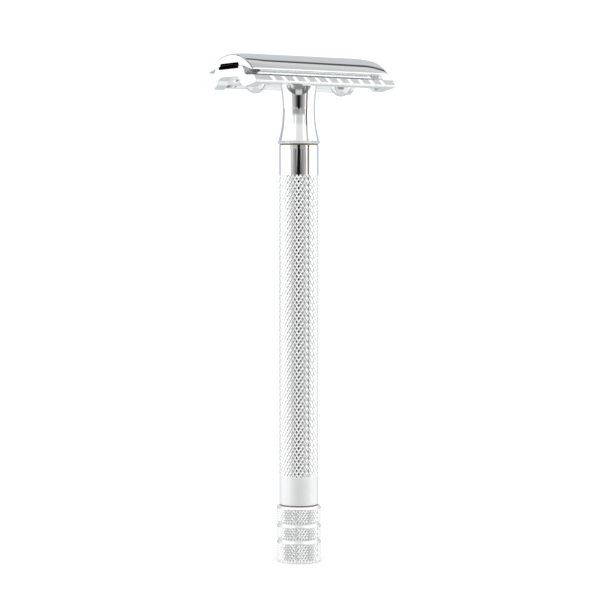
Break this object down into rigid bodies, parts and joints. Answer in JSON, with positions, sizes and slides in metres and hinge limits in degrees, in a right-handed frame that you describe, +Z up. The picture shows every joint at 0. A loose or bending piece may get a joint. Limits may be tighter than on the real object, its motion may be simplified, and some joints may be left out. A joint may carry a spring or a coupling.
{
  "type": "safety razor",
  "caption": "Double-edge safety razor with a closed straight-bar head, a curved cap and a long knurled handle whose end knob opens the head.",
  "frame": {"origin": "on the handle's axis, at the knob's flat end", "axes": "+Z up the handle to the cap; X along the head's length; the cutting edges face -Y and +Y"},
  "size_m": [0.0428, 0.026, 0.1315],
  "materials": {
    "polished_chrome": "mirror polished",
    "knurled_chrome": "bright, diamond knurled",
    "blade_steel": "ground",
    "plated_brass": "bright",
    "brass": "turned",
    "steel_rod": "turned"
  },
  "bodies": {
    "handle": {"handle_tube": "knurled_chrome", "neck": "polished_chrome", "neck_ferrule": "plated_brass", "base_plate": "polished_chrome", "upper_bush": "brass", "lower_bush": "brass", "thrust_washer": "brass"},
    "knob": {"knob": "knurled_chrome", "knob_screw": "steel_rod", "spindle": "steel_rod", "spindle_socket": "plated_brass", "socket_pin": "steel_rod"},
    "cap": {"cap": "polished_chrome", "cap_stud": "plated_brass", "cap_guide_pins": "plated_brass"},
    "blade": {"blade": "blade_steel"}
  },
  "joints": [
    {"name": "knob_turn", "type": "hinge", "parent": "handle", "child": "knob", "pos_m": [0, 0, 0.00725], "axis": [0, 0, -1], "range_deg": [0, 2520]},
    {"name": "cap_lift", "type": "slide", "parent": "handle", "child": "cap", "axis": [0, 0, 1], "range_m": [0, 0.0056]},
    {"name": "blade_lift", "type": "slide", "parent": "handle", "child": "blade", "axis": [0, 0, 1], "range_m": [0, 0.0028]}
  ],
  "couplings": [
    {"joint": "cap_lift", "follows": "knob_turn", "m_per_rad": 0.00012732},
    {"joint": "blade_lift", "follows": "knob_turn", "m_per_rad": 0.000063662}
  ]
}
